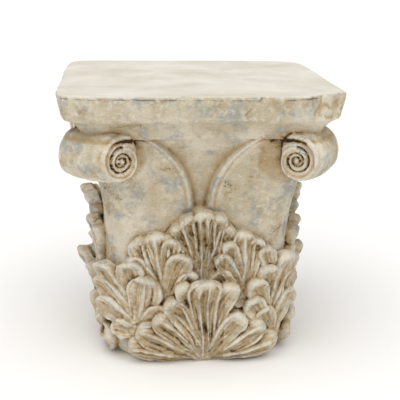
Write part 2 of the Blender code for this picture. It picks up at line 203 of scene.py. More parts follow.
def value_noise(points, grain, seed=0, octaves=1):
    """Lattice numbers blended by smoothstep in each cell; each octave halves the grain."""
    total = np.zeros(points.shape[:-1])
    weight = 1.0
    weights = 0.0
    for octave in range(octaves):
        p = points / (grain * 0.5 ** octave)
        whole = np.floor(p).astype(np.int64)
        t = smoothstep(p - whole)
        blend = np.zeros_like(total)
        for corner in range(8):
            dx, dy, dz = corner & 1, (corner >> 1) & 1, corner >> 2
            share = (t[..., 0] if dx else 1 - t[..., 0]) * (t[..., 1] if dy else 1 - t[..., 1])
            share = share * (t[..., 2] if dz else 1 - t[..., 2])
            blend += share * lattice(whole[..., 0] + dx, whole[..., 1] + dy, whole[..., 2] + dz,
                                     seed + 31 * octave)
        total += weight * blend
        weights += weight
        weight *= 0.55
    return total / weights


# %% The bell's skin
BELL_WIDTH = 0.314
LIP_WIDTH = W - 0.046
FOOT_TUCK = 0.020
FOOT_TUCK_HEIGHT = 0.045
FOOT_POWER = 4.0
PLAN_SHARE = 0.35
NORMAL_STEP = 0.004
QUARTER = math.radians(90.0)


def bell_half_width(z):
    """Half width: straight, less a squared tuck at the foot, plus a 1.7 power flare."""
    flare = np.clip((z - 0.55 * W) / (0.39 * W), 0.0, 1.2) ** 1.7
    tuck = np.clip(1.0 - z / FOOT_TUCK_HEIGHT, 0.0, 1.5) ** 2
    return 0.5 * BELL_WIDTH + 0.5 * (LIP_WIDTH - BELL_WIDTH) * flare - FOOT_TUCK * tuck


def bell_power(z):
    """Squareness of the plan: 4 at the foot, rising to 6 under the slab."""
    return FOOT_POWER + 2.0 * smoothstep((z / W - 0.3) / 0.5)


plan_angles = np.linspace(-QUARTER / 2, QUARTER / 2, 801)
plan_radii = squarish(plan_angles, FOOT_POWER) * PLAN_SHARE * W
plan_steps = np.hypot(np.diff(plan_radii * np.sin(plan_angles)),
                      np.diff(plan_radii * np.cos(plan_angles)))
plan_along = np.concatenate([[0.0], np.cumsum(plan_steps)])
SIDE = plan_along[-1]
plan_along = plan_along - SIDE / 2


def angle_of(along):
    """The angle round the axis at a length along the skin, read from the summed plan."""
    side = np.round(along / SIDE)
    return side * QUARTER + np.interp(along - side * SIDE, plan_along, plan_angles)


def skin(along, z):
    """Point of the plain bell: half width times the rounded square, at that angle."""
    angle = angle_of(along)
    radius = bell_half_width(z) * squarish(angle, bell_power(z))
    return stacked(radius * np.sin(angle), -radius * np.cos(angle), z)


def skin_normal(along, z):
    """Outward direction: the cross product of a small step across and one upward."""
    across = skin(along + NORMAL_STEP, z) - skin(along - NORMAL_STEP, z)
    upward = skin(along, z + NORMAL_STEP) - skin(along, z - NORMAL_STEP)
    normal = np.cross(across, upward)
    return normal / np.linalg.norm(normal, axis=-1, keepdims=True)


def turned(points, quarter_turns):
    """Turn points about the upright axis by a number of quarter turns."""
    angle = quarter_turns * QUARTER
    c, s = math.cos(angle), math.sin(angle)
    x, y, z = points[..., 0], points[..., 1], points[..., 2]
    return stacked(c * x - s * y, s * x + c * y, z)


def loft(rings):
    """Faces between each ring of points and the next, and a cap on both ends."""
    count, ring = rings.shape[:2]
    index = np.arange(count * ring).reshape(count, ring)
    low, high = index[:-1], index[1:]
    sides = np.stack([low, np.roll(low, -1, axis=1), np.roll(high, -1, axis=1), high], axis=-1)
    faces = sides.reshape(-1, 4).tolist()
    faces.append(index[0][::-1].tolist())
    faces.append(index[-1].tolist())
    return rings.reshape(-1, 3), faces


print("one side of the skin is", round(SIDE, 4), "m long")

# %% [markdown]
# ## Bell, slab and scrolls
#
# The bell carries a sunk panel between two quarter ellipses, whose rims run up to the
# scrolls with a thin bead and a groove beside the panel. The slab is a stack of rounded
# squares with a cove under it; everything past a slanting plane at its front right corner
# is pressed onto that plane, roughly, as stone breaks. A scroll is a barrel between two
# discs whose groove is a logarithmic spiral.

# %% The bell
ARCH_FOOT = 0.585
PANEL_DEPTH = 0.012
PANEL_EDGE = 0.004
RIM_HEIGHT = 0.0045
RIM_WIDTH = 0.018
BEAD_HEIGHT = 0.0022
BEAD_OUT = 0.004
GROOVE_DEPTH = 0.0020
GROOVE_OUT = 0.011
BEAD_WIDTH = 0.003
STALK_SWELL = 0.008
STALK_WIDTH = math.radians(11.0)
STALK_HOLLOW = 0.004
STALK_HOLLOW_OUT = math.radians(19.0)
STALK_HOLLOW_WIDTH = math.radians(5.0)
CUT_MARGIN = 0.006
SLAB_THICKNESS = 0.042


def arch_reach(z):
    """Half width of the panel: a quarter ellipse of half axes 0.265 W and 0.29 W."""
    rise = np.clip((z / W - 0.60) / 0.29, 0.0, 1.0)
    return W * (0.29 - 0.265 * np.sqrt(1.0 - rise ** 2))


def above_arch_foot(z):
    """0 below the arches' feet and 1 above them, by a smoothstep over 0.03 W."""
    return smoothstep((z / W - ARCH_FOOT) / 0.03)


def bell():
    """Rounded squares up the height, less the sunk panel, plus the arch's round rim with
    its bead and groove, plus the corner's stalk with a hollow on each side. Each is a bump
    or a smoothstep of the distance from its line."""
    z = np.linspace(-CUT_MARGIN, HEIGHT - SLAB_THICKNESS, 260)[:, None]
    angle = np.linspace(-math.pi, math.pi, 900, endpoint=False)[None, :]
    radius = bell_half_width(z) * squarish(angle, bell_power(z))
    local = angle - QUARTER * np.round(angle / QUARTER)
    across = np.abs(radius * np.sin(local))
    inside = arch_reach(z) - across
    above = above_arch_foot(z)
    fading = 1.0 - smoothstep((z / W - 0.79) / 0.09)
    sink = PANEL_DEPTH * smoothstep(inside / PANEL_EDGE + 0.5) * above * fading
    ridge = RIM_HEIGHT * bump(inside + 0.6 * RIM_WIDTH, 0.6 * RIM_WIDTH) * above
    ridge = ridge + BEAD_HEIGHT * bump(inside + BEAD_OUT, BEAD_WIDTH) * above
    ridge = ridge - GROOVE_DEPTH * bump(inside + GROOVE_OUT, BEAD_WIDTH) * above
    diagonal = np.abs(np.abs(local) - QUARTER / 2)
    beside = bump(diagonal - STALK_HOLLOW_OUT, STALK_HOLLOW_WIDTH)
    stalk = STALK_SWELL * bump(diagonal, STALK_WIDTH) - STALK_HOLLOW * beside
    stalk = stalk * smoothstep((z / W - 0.42) / 0.25)
    radius = radius + ridge - sink + stalk
    return loft(stacked(radius * np.sin(angle), -radius * np.cos(angle), z))


# %% The slab
SLAB_DEPTH = 0.455
SLAB_TAPER = 0.009
SLAB_EDGE = 0.004
SLAB_POWER = 11.0
SLAB_WAVE = 0.0012
SLAB_BOW = 0.0020
COVE_HEIGHT = 0.030
COVE_START = math.radians(26.0)
BREAK_DEPTH = 0.044
BREAK_ANGLE = math.radians(-52.0)
BREAK_X, BREAK_Y = math.cos(BREAK_ANGLE), math.sin(BREAK_ANGLE)
BREAK_REACH = SLAB_WIDTH / 2 * BREAK_X - SLAB_DEPTH / 2 * BREAK_Y - BREAK_DEPTH
BREAK_LUMP = 0.007
BREAK_LUMP_LENGTH = 0.030
BREAK_CHIP = 0.005
BREAK_CHIP_LENGTH = 0.012


def knock_corner(x, y, z):
    """Move what lies past an upright plane across the corner back onto it, with lumps and
    chips from two noises."""
    place = stacked(x, y, z)
    rough = BREAK_LUMP * value_noise(place, BREAK_LUMP_LENGTH, 5, 2)
    rough = rough + BREAK_CHIP * value_noise(place, BREAK_CHIP_LENGTH, 9, 3)
    excess = np.clip(x * BREAK_X + y * BREAK_Y - (BREAK_REACH + rough), 0.0, None)
    return x - excess * BREAK_X, y - excess * BREAK_Y


def slab():
    """Rounded squares from the cove up to the top, each drawn in by the profile's inset.
    The cove follows an ellipse, the edges are rounded by a square of the height, and slow
    sines across the plan keep the sides from being dead straight."""
    under = HEIGHT - SLAB_THICKNESS
    cove = np.linspace(COVE_START, math.radians(90.0), 24)
    side = np.linspace(0.0, 1.0, 60)
    cove_z = under - COVE_HEIGHT * (1.0 - np.sin(cove)) / (1.0 - math.sin(COVE_START))
    cove_depth = SLAB_WIDTH / 2 - SLAB_TAPER - bell_half_width(under - COVE_HEIGHT)
    cove_in = cove_depth * np.cos(cove) / math.cos(COVE_START) + SLAB_TAPER
    side_z = under + SLAB_THICKNESS * side
    low_edge = np.clip(1.0 - side / 0.12, 0, 1) ** 2
    high_edge = np.clip((side - 0.9) / 0.1, 0, 1) ** 2
    side_in = SLAB_TAPER * (1.0 - side) ** 1.3 + SLAB_EDGE * (low_edge + high_edge)
    over_z = np.array([HEIGHT + CUT_MARGIN])
    z = np.concatenate([cove_z[:-1], side_z, over_z])[:, None]
    inset = np.concatenate([cove_in[:-1], side_in, side_in[-1:]])[:, None]
    angle = np.linspace(-math.pi, math.pi, 1200, endpoint=False)[None, :]
    shape = squarish(angle, SLAB_POWER)
    x = shape * np.sin(angle) * (SLAB_WIDTH / 2 - inset)
    y = -shape * np.cos(angle) * (SLAB_DEPTH / 2 - inset)
    x = x + SLAB_WAVE * np.sin(17.0 * x / W) * np.sin(11.0 * y / W)
    y = y + SLAB_BOW * np.sin(9.0 * x / W + 0.6)
    x, y = knock_corner(x, y, z)
    return loft(stacked(x, y, z))


# %% The scrolls
SCROLL_RADIUS = 0.0425
SCROLL_RELIEF = 0.006
SCROLL_GROOVE = 0.0125
SCROLL_GROOVE_WIDTH = 0.0040
SCROLL_SHRINK = 0.54
SCROLL_TURN = math.radians(32.0)
SCROLL_ALONG = (0.321 * W, 0.276 * W)
SCROLL_INSET = 0.0235
SCROLL_OUT = W / 2 - SCROLL_INSET
SCROLL_HEIGHT = HEIGHT - 0.233 * W


def scroll_disc(reach, turn, side):
    """A disc whose edge is radius times shrink to the turns wound, swelling back at the
    end of the turn; its groove is e to the minus (distance from that spiral) squared."""
    wound = ((math.pi / 2 - turn) / (2 * math.pi)) % 1.0
    spiral = SCROLL_RADIUS * SCROLL_SHRINK ** wound
    closing = 1.0 + (1.0 / SCROLL_SHRINK - 1.0) * smoothstep((wound - 0.78) / 0.22)
    radius = reach * spiral * closing
    turns_in = np.log(spiral / np.maximum(radius, 1e-5)) / math.log(1.0 / SCROLL_SHRINK)
    phase = turns_in - np.floor(turns_in)
    eye = smoothstep((radius - 0.05 * SCROLL_RADIUS) / (0.05 * SCROLL_RADIUS))
    inner = smoothstep((turns_in - 0.4) / 0.3)
    lips = bump(phase - 0.16, 0.13) + 0.8 * bump(phase - 0.80, 0.11)
    away = np.minimum(phase, 1.0 - phase) * math.log(1.0 / SCROLL_SHRINK) * radius
    narrowing = 0.4 + 0.6 * radius / SCROLL_RADIUS
    groove = bump(away, SCROLL_GROOVE_WIDTH * narrowing) * inner
    relief = SCROLL_RELIEF * 0.6 * lips - SCROLL_GROOVE * groove
    relief = relief * eye * smoothstep((1.0 - reach) / 0.06)
    relief = relief + 0.6 * SCROLL_RELIEF * (1.0 - reach ** 1.5)
    outward = np.cos(turn) * radius
    x = SCROLL_ALONG[side] + outward * math.cos(SCROLL_TURN) - relief * math.sin(SCROLL_TURN)
    y = -SCROLL_OUT - outward * math.sin(SCROLL_TURN) - relief * math.cos(SCROLL_TURN)
    z = SCROLL_HEIGHT + np.sin(turn) * radius
    if side > 0:
        x, y = -y, -x
    return stacked(x, y, z)


def scroll():
    """Rings from one disc's eye to its edge, across a bulging barrel, and into the other."""
    turn = np.linspace(0.0, 2 * math.pi, 240, endpoint=False)[None, :]
    reach = np.linspace(0.01, 1.0, 90)[:, None]
    front = scroll_disc(reach, turn, 0)
    right = scroll_disc(reach, turn, 1)
    share = np.linspace(0.0, 1.0, 40)[1:-1, None, None]
    barrel = front[-1] * (1.0 - share) + right[-1] * share
    middle = barrel.mean(axis=1, keepdims=True)
    waist = 1.0 + 0.10 * np.sin(math.pi * share) ** 0.7
    waist = waist - 0.06 * bump(share - 0.06, 0.05) - 0.06 * bump(share - 0.94, 0.05)
    barrel = middle + (barrel - middle) * waist
    return loft(np.concatenate([front, barrel, right[::-1]]))


# %% [markdown]
# ## The leaves
#
# Acanthus in cast stone is a bundle of fleshy lobes that fan out from one root. Each lobe
# is a finger laid along a bent path on the skin. Its back is round, channels are cut along
# it, and its swollen tip stands off the bell. Low pads without channels fill the middle of
# each leaf. Every lobe also carries lines: which ridge a point lies on and how far along.

# %% One lobe and one leaf
LEAF_THICKNESS = 0.020
LEAF_DOME = 0.013
PAD_DOME = 0.4 * LEAF_DOME
LEAF_SEAT = 0.003
TIP_SWELL = 0.0025
CURL_POWER = 2.6
LEAST_ROOT = 0.012
LEAF_WANDER = 0.0025
CHANNEL_DEPTH = 0.009
RIDGE_GAP = 0.0095
LOBE_STEPS = 64
LOBE_SPAN = 49


def wander(flat):
    """Shift places on the skin by sines of their other measure, as a hand's drawing strays."""
    u, z = flat[..., 0] / W, flat[..., 1] / W
    across = np.sin(17.0 * z + 2.0 * np.sin(9.0 * u))
    upward = np.sin(19.0 * u + 2.0 * np.sin(11.0 * z))
    shift = np.stack([across, upward], axis=-1)
    return flat + LEAF_WANDER * shift


def lobe(root, tip, bend, widths, lifts, channels, dome):
    """One lobe of a leaf: a fleshy finger laid along a curve on the bell.

    Its middle line is a quadratic curve from root to tip through a handle that bend pushes
    sideways; widths are half widths at the root and near the tip, rounded off there by an
    ellipse. The height over the skin is the lift, root to tip by a power of t, plus dome
    times the square root of 1 less rho to the fourth, plus a bump for the swollen tip, less
    channels drawn by the size of a sine across. Its lines are the ridge's number across,
    t along, and 1 for leaf.
    """
    root, tip = np.array(root), np.array(tip)
    run = tip - root
    length = np.hypot(*run)
    aside = np.array([run[1], -run[0]]) / length
    t = np.linspace(0.0, 1.0, LOBE_STEPS)[:, None]
    handle = (root + tip) / 2 + aside * bend
    path = root * (1 - t) ** 2 + handle * 2 * t * (1 - t) + tip * t ** 2
    way = 2 * (1 - t) * (handle - root) + 2 * t * (tip - handle)
    way = way / np.linalg.norm(way, axis=1, keepdims=True)
    side = np.stack([way[:, 1], -way[:, 0]], axis=-1)
    start = 1.0 - min(0.8, 1.1 * widths[1] / length)
    end = np.clip((t - start) / (1.0 - start), 0.0, 1.0)
    wide = widths[0] + (widths[1] - widths[0]) * np.minimum(t / start, 1.0) ** 0.9
    s = np.linspace(-1.0, 1.0, LOBE_SPAN)[None, :]
    narrow = np.sqrt(np.maximum(1.0 - end ** 2, 0.0004))
    across = s * narrow
    rho = np.sqrt(across ** 2 + end ** 2)
    lift = lifts[0] + (lifts[1] - lifts[0]) * t ** CURL_POWER
    grow = 0.45 + 0.55 * smoothstep(t / 0.6)
    back = dome * grow * np.sqrt(np.maximum(1.0 - rho ** 4, 0.0))
    knob = TIP_SWELL * bump(t - 0.92, 0.10) * (1.0 - across ** 2)
    channel = np.abs(np.sin(math.pi * channels * (across / 1.7 + 0.5))) * (np.abs(across) < 0.85)
    channel = channel * smoothstep((0.97 - t) / 0.16) * smoothstep(t / 0.12) * grow
    top = lift + back + knob - CHANNEL_DEPTH * channel
    low = lift - LEAF_THICKNESS * (1.0 - 0.5 * t)
    flat = wander(path[:, None, :] + side[:, None, :] * (wide * across)[..., None])
    base = skin(flat[..., 0], flat[..., 1])
    out = skin_normal(flat[..., 0], flat[..., 1])
    upper = base + out * top[..., None]
    lower = base + out * low[..., None]
    rings = np.concatenate([upper, lower[:, ::-1]], axis=1)
    points, faces = loft(rings[:, ::-1])
    ridges = max(3, 2 * round(widths[1] / RIDGE_GAP) + 1)
    lines = stacked(0.5 * ridges * s, t, 1.0)
    lines = np.concatenate([lines, lines[:, ::-1]], axis=1)[:, ::-1].reshape(-1, 3)
    return points, faces, lines


def leaf(root, lobes):
    """A leaf of several lobes that fan out from one root.

    Each lobe is (angle from upright in degrees, length, half width near the tip, lift of
    the tip, shift of its own root up the leaf, channels), lengths as shares of the slab's
    width; a lobe with no channels is a low pad that fills the leaf's middle.
    """
    parts = []
    for angle, length, width, lift, up, channels in lobes:
        turn = math.radians(angle)
        tip = (root[0] + length * math.sin(turn), root[1] + length * math.cos(turn))
        rise = math.radians(0.35 * angle)
        start = (root[0] + up * math.sin(rise), root[1] + up * math.cos(rise))
        bend = -0.10 * length * math.sin(turn)
        low_width = max(0.40 * width, LEAST_ROOT)
        parts.append(lobe(
            [W * start[0], W * start[1]], [W * tip[0], W * tip[1]], W * bend,
            (W * low_width, W * width), (LEAF_SEAT, W * lift), channels,
            LEAF_DOME if channels else PAD_DOME))
    return parts


LOWER_LEAF = ((0.023, -0.012), (
    (-2, 0.280, 0.140, 0.008, 0.00, 0), (46, 0.215, 0.085, 0.004, 0.02, 0),
    (-44, 0.235, 0.090, 0.004, 0.02, 0),
    (70, 0.290, 0.050, 0.012, 0.02, 2), (-72, 0.295, 0.054, 0.014, 0.02, 2),
    (51, 0.280, 0.056, 0.022, 0.02, 2), (-56, 0.300, 0.058, 0.024, 0.01, 2),
    (33, 0.264, 0.046, 0.036, 0.02, 1), (-40, 0.292, 0.054, 0.032, 0.02, 2),
    (-26, 0.320, 0.048, 0.040, 0.03, 1), (15, 0.354, 0.042, 0.050, 0.03, 1),
    (-14, 0.364, 0.040, 0.050, 0.03, 1), (-1, 0.376, 0.062, 0.088, 0.03, 3)))
UPPER_LEAF = ((0.015, 0.325), (
    (-4, 0.200, 0.085, 0.010, 0.00, 0),
    (-38, 0.236, 0.030, 0.020, 0.00, 1), (25, 0.240, 0.036, 0.026, 0.00, 1),
    (-26, 0.262, 0.036, 0.034, 0.00, 1), (13, 0.276, 0.038, 0.044, 0.00, 1),
    (-14, 0.284, 0.042, 0.048, 0.00, 1), (-1, 0.290, 0.052, 0.066, 0.00, 3)))
RIGHT_LEAF = ((0.159, 0.235), (
    (-6, 0.220, 0.060, 0.008, 0.00, 0),
    (-11, 0.298, 0.030, 0.008, 0.03, 1), (-41, 0.180, 0.044, 0.026, 0.00, 1),
    (-26, 0.228, 0.038, 0.036, 0.03, 1), (-14, 0.262, 0.034, 0.034, 0.06, 1),
    (10, 0.268, 0.036, 0.022, 0.03, 1), (0, 0.290, 0.046, 0.042, 0.06, 2)))
LEFT_LEAF = ((-0.121, 0.225), (
    (-4, 0.220, 0.070, 0.008, 0.00, 0),
    (5, 0.318, 0.028, 0.010, 0.05, 1), (36, 0.184, 0.034, 0.024, 0.00, 1),
    (-34, 0.240, 0.042, 0.018, 0.02, 1), (17, 0.226, 0.050, 0.042, 0.02, 1),
    (-22, 0.290, 0.044, 0.024, 0.06, 1), (4, 0.280, 0.036, 0.038, 0.06, 1),
    (-9, 0.296, 0.052, 0.034, 0.05, 2)))
CORNER_LEAF_A = ((-0.228, 0.130), (
    (-20, 0.190, 0.080, 0.008, 0.00, 0), (-60, 0.130, 0.060, 0.006, 0.00, 0),
    (-92, 0.095, 0.044, 0.022, 0.00, 1), (47, 0.150, 0.050, 0.028, 0.00, 1),
    (-62, 0.180, 0.050, 0.030, 0.01, 1), (-43, 0.245, 0.050, 0.036, 0.05, 1),
    (12, 0.226, 0.064, 0.046, 0.02, 2), (-3, 0.285, 0.050, 0.040, 0.08, 1),
    (-27, 0.292, 0.042, 0.046, 0.04, 1)))
CORNER_LEAF_B = ((0.278, 0.095), (
    (-4, 0.240, 0.070, 0.008, 0.00, 0),
    (-19, 0.135, 0.044, 0.024, 0.00, 1), (-30, 0.200, 0.044, 0.032, 0.02, 1),
    (30, 0.190, 0.046, 0.024, 0.00, 1), (-21, 0.258, 0.044, 0.036, 0.06, 1),
    (20, 0.275, 0.044, 0.030, 0.05, 1), (-9, 0.295, 0.040, 0.032, 0.12, 1),
    (-8, 0.372, 0.034, 0.024, 0.18, 1), (6, 0.340, 0.042, 0.038, 0.03, 1)))
FACE_LEAVES = (LOWER_LEAF, UPPER_LEAF, RIGHT_LEAF, LEFT_LEAF)
CORNER_LEAVES = (CORNER_LEAF_A, CORNER_LEAF_B)

# %% [markdown]
# ## One shell out of many
#
# A voxel remesh keeps only the outside of all the overlapping shapes, as a casting has
# only an outside. It rounds every edge a little, which is what a mould and a lime wash do
# too. Sealed hollows come out as loose inner shells, so only the largest shell is kept.


# %% Gather and unite
VOXEL = 0.0018


def mesh_from(shapes, name):
    """One mesh from several shapes, each with its own run of vertices; a lobe brings its
    lines too, and every other shape has none."""
    points, faces, lines, start = [], [], [], 0
    for shape_points, shape_faces, *shape_lines in shapes:
        points.append(shape_points)
        faces += [[i + start for i in face] for face in shape_faces]
        lines.append(shape_lines[0] if shape_lines else np.zeros_like(shape_points))
        start += len(shape_points)
    mesh = bpy.data.meshes.new(name)
    mesh.from_pydata(np.concatenate(points).tolist(), [], faces)
    mesh.update()
    put_lines(mesh, np.concatenate(lines))
    return mesh


def put_lines(mesh, lines):
    """Keep three numbers on each vertex as the colour attribute leaf_lines."""
    attribute = mesh.color_attributes.new("leaf_lines", "FLOAT_COLOR", "POINT")
    values = np.concatenate([lines, np.ones((len(lines), 1))], axis=1)
    attribute.data.foreach_set("color", values.astype(np.float32).ravel())


def leaf_lines(mesh):
    """Read the three numbers of leaf_lines back, each as an array over the vertices."""
    values = np.empty(4 * len(mesh.vertices))
    mesh.color_attributes["leaf_lines"].data.foreach_get("color", values)
    return values.reshape(-1, 4).T[:3]


def evaluated_mesh(item):
    """The mesh of an object with its modifiers applied."""
    bpy.context.view_layer.update()
    graph = bpy.context.evaluated_depsgraph_get()
    return bpy.data.meshes.new_from_object(item.evaluated_get(graph))


shapes = [bell(), slab()]
for quarter in range(4):
    ornament = [scroll()]
    for root, lobes in FACE_LEAVES + (CORNER_LEAVES if quarter % 2 == 0 else ()):
        ornament += leaf(root, lobes)
    shapes += [(turned(points, quarter), *rest) for points, *rest in ornament]
stone = bpy.data.objects.new("capital_stone", mesh_from(shapes, "capital_stone"))
bpy.context.scene.collection.objects.link(stone)
remesh = stone.modifiers.new("unite", "REMESH")
remesh.mode = "VOXEL"
remesh.voxel_size = VOXEL
united = evaluated_mesh(stone)
stone.modifiers.clear()
stone.data = united
print(len(shapes), "shapes united into", len(united.vertices), "points")

# %% [markdown]
# The remesh makes new points that know nothing of the lobes. So a second mesh of the same
# shapes is laid over it, and each new point takes the lines of the nearest place there.

# %% Carry the leaves' lines over to the united surface
drawing = bpy.data.objects.new("leaf_drawing", mesh_from(shapes, "leaf_drawing"))
bpy.context.scene.collection.objects.link(drawing)
put_lines(united, np.zeros((len(united.vertices), 3)))
carry = stone.modifiers.new("carry the lines", "DATA_TRANSFER")
carry.object = drawing
carry.use_vert_data = True
carry.data_types_verts = {"COLOR_VERTEX"}
carry.vert_mapping = "POLYINTERP_NEAREST"
united = evaluated_mesh(stone)
stone.modifiers.clear()
stone.data = united
bpy.data.objects.remove(drawing, do_unlink=True)
print("share of the surface that is leaf:", round(float(leaf_lines(united)[2].mean()), 3))


# %% Keep the largest shell
def mesh_arrays(mesh):
    """Vertex places and edge ends of a mesh as arrays."""
    places = np.empty(len(mesh.vertices) * 3)
    mesh.vertices.foreach_get("co", places)
    ends = np.empty(len(mesh.edges) * 2, dtype=np.int64)
    mesh.edges.foreach_get("vertices", ends)
    return places.reshape(-1, 3), ends.reshape(-1, 2)


def largest_shell(count, ends):
    """Give every vertex the lowest label among its neighbours until nothing changes."""
    label = np.arange(count)
    while True:
        low = np.minimum(label[ends[:, 0]], label[ends[:, 1]])
        fresh = label.copy()
        np.minimum.at(fresh, ends[:, 0], low)
        np.minimum.at(fresh, ends[:, 1], low)
        fresh = fresh[fresh]
        if np.array_equal(fresh, label):
            return label == np.bincount(label).argmax()
        label = fresh


places, ends = mesh_arrays(united)
kept = largest_shell(len(places), ends)
shell = bmesh.new()
shell.from_mesh(united)
loose = [vert for vert, keep in zip(shell.verts, kept) if not keep]
bmesh.ops.delete(shell, geom=loose, context="VERTS")
shell.to_mesh(united)
shell.free()
print("dropped", len(loose), "points of sealed hollows")

# %% [markdown]
# ## Wear
#
# Old cast stone is never smooth. It swells over a few centimetres and is grainy over a
# few millimetres; its leaves are folded along their lobes and crumble a little at the
# edges; its slab is pocked on the sides and chipped along the top edge. Each is a height
# that moves the points along their own normals. The flat top was trowelled, so it gets
# next to none.


# %% Roughen the surface
def vertex_normals(mesh):
    """Normals of a mesh's vertices as an array."""
    normals = np.empty(len(mesh.vertices) * 3)
    mesh.vertices.foreach_get("normal", normals)
    return normals.reshape(-1, 3)


def between(value, low, middle, high):
    """0 outside low and high, 1 at the middle, by a smoothstep on each side."""
    rising = smoothstep((value - low) / (middle - low))
    return rising * smoothstep((high - value) / (high - middle))


SWELL_DEPTH = 0.0013
SWELL_LENGTH = 0.035
GRAIN_DEPTH = 0.0006
LEAF_GRAIN_MORE = 0.0003
GRAIN_LENGTH = 0.008
FOLD_DEPTH = 0.0013
FOLD_LENGTH = 0.025
STREAK_DEPTH = 0.0016
CRUMBLE_DEPTH = 0.0022
CRUMBLE_LENGTH = 0.016
CHIP_DEPTH = 0.0022
CHIP_LENGTH = 0.014
CHIP_BAND = 0.006
POCK_DEPTH = 0.0008
POCK_LENGTH = 0.013
POCK_SQUASH = np.array([0.7, 0.7, 1.6])
SIDE_FADE = 0.004

phase, share, leafy = leaf_lines(united)
places = mesh_arrays(united)[0]
normals = vertex_normals(united)
z = places[:, 2]
trowelled = smoothstep((z - (HEIGHT - SIDE_FADE)) / SIDE_FADE)
swell = SWELL_DEPTH * value_noise(places, SWELL_LENGTH, 1, 2)
grain = (GRAIN_DEPTH + LEAF_GRAIN_MORE * leafy) * value_noise(places, GRAIN_LENGTH, 2, 2)
valley = 2.0 * np.abs(phase - np.round(phase))
ends_fade = smoothstep(share / 0.15) * smoothstep((0.985 - share) / 0.10)
unevenness = 0.5 + 0.9 * value_noise(places, FOLD_LENGTH, 41, 1)
folds = -FOLD_DEPTH * (valley - 0.45) * unevenness
# Whole steps taken from x, one to 83 mm, keep lobes in different places from matching.
along_lobes = stacked(phase, 1.4 * share, 0.0) + np.round(12.0 * places[:, :1])
streaks = STREAK_DEPTH * value_noise(along_lobes, 0.9, 43, 2)
ridging = (folds + streaks) * ends_fade * leafy
crumble = CRUMBLE_DEPTH * value_noise(places, CRUMBLE_LENGTH, 51, 3) * leafy
slabby = smoothstep((z - (HEIGHT - SLAB_THICKNESS)) / SIDE_FADE) * (1.0 - trowelled)
chips = value_noise(places, CHIP_LENGTH, 21, 2)
edge = between(HEIGHT - z, 0.0, 0.002, CHIP_BAND) * smoothstep((chips - 0.25) / 0.3)
chipping = -CHIP_DEPTH * edge
pocks = value_noise(places * POCK_SQUASH, POCK_LENGTH, 31, 2)
dents = -POCK_DEPTH * smoothstep((pocks - 0.15) / 0.35) * slabby
depth = (swell + grain) * (1.0 - 0.9 * trowelled) + ridging + crumble + chipping + dents
places = places + normals * depth[:, None]
united.vertices.foreach_set("co", places.ravel())
united.update()
print("wear moves the surface by", round(1000 * float(np.abs(depth).max()), 2), "mm at most")

# %% Cut the foot and the top flat
TOP_CUT = 0.0004
shell = bmesh.new()
shell.from_mesh(united)
for height, direction in ((HEIGHT - TOP_CUT, 1.0), (0.0, -1.0)):
    everything = shell.verts[:] + shell.edges[:] + shell.faces[:]
    cut = bmesh.ops.bisect_plane(shell, geom=everything, plane_co=(0, 0, height),
                                 plane_no=(0, 0, direction), clear_outer=True)
    rim = [item for item in cut["geom_cut"] if isinstance(item, bmesh.types.BMEdge)]
    bmesh.ops.holes_fill(shell, edges=rim, sides=0)
shell.to_mesh(united)
shell.free()
print("foot and top are flat; height", round(max(v.co.z for v in united.vertices), 4))

# %% [markdown]
# ## Where the wash and the painted shade settle
#
# Brown wash runs into hollows, and a dry brush leaves pale paint on ridges. The darkest
# brown deep in the hollows is painted shade, and the pale on the ridges is partly a painted
# highlight. Both follow how far a point lies below or above its smoothed surroundings.
# That is measured at two scales, by letting the points drift towards their neighbours, and
# kept as attributes.


# %% Measure hollows and ridges
def smoothed(values, ends, rounds):
    """Replace each value by half itself and half its neighbours' mean, many times."""
    count = len(values)
    degree = np.bincount(ends.ravel(), minlength=count).astype(float)
    for _ in range(rounds):
        total = np.zeros_like(values)
        for axis in range(values.shape[1]):
            total[:, axis] = np.bincount(ends[:, 0], values[ends[:, 1], axis], count)
            total[:, axis] += np.bincount(ends[:, 1], values[ends[:, 0], axis], count)
        values = 0.5 * values + 0.5 * total / degree[:, None]
    return values


def put_values(mesh, name, values):
    """Keep one number on each vertex under a name."""
    attribute = mesh.attributes.new(name, "FLOAT", "POINT")
    attribute.data.foreach_set("value", values.astype(np.float32))


def point_values(mesh, name):
    """Read back the numbers that an attribute keeps on the vertices."""
    values = np.empty(len(mesh.vertices))
    mesh.attributes[name].data.foreach_get("value", values)
    return values


FINE_UNIT = 0.0005
BROAD_UNIT = 0.003
places, ends = mesh_arrays(united)
normals = vertex_normals(united)
near = smoothed(places, ends, 6)
far = smoothed(near, ends, 60)
for name, level, unit in (("fine_depth", near, FINE_UNIT), ("broad_depth", far, BROAD_UNIT)):
    values = ((level - places) * normals).sum(axis=1) / unit
    put_values(united, name, np.clip(values, -2.0, 2.0))
    print(name, "percentiles", np.round(np.percentile(values, [5, 50, 95]), 2))

# %% Thin out to the triangle limit
TRIANGLES = 190000
SHARP_ANGLE = math.radians(55.0)
LEVEL_ENOUGH = 0.9999
triangles = sum(len(face.vertices) - 2 for face in united.polygons)
thin = stone.modifiers.new("thin out", "DECIMATE")
thin.ratio = min(1.0, TRIANGLES / triangles)
thinned = evaluated_mesh(stone)
stone.modifiers.clear()
stone.data = thinned
thinned.shade_smooth()
thinned.set_sharp_from_angle(angle=SHARP_ANGLE)
for face in thinned.polygons:
    face.use_smooth = abs(face.normal.z) < LEVEL_ENOUGH
places = mesh_arrays(thinned)[0]
# The decimation may push a point out by a hair, so all are held inside the solid's box.
thinned.vertices.foreach_set("co", np.clip(places, cad_box[0][:], cad_box[1][:]).ravel())
thinned.update()
print(triangles, "triangles thinned to", sum(len(face.vertices) - 2 for face in thinned.polygons))
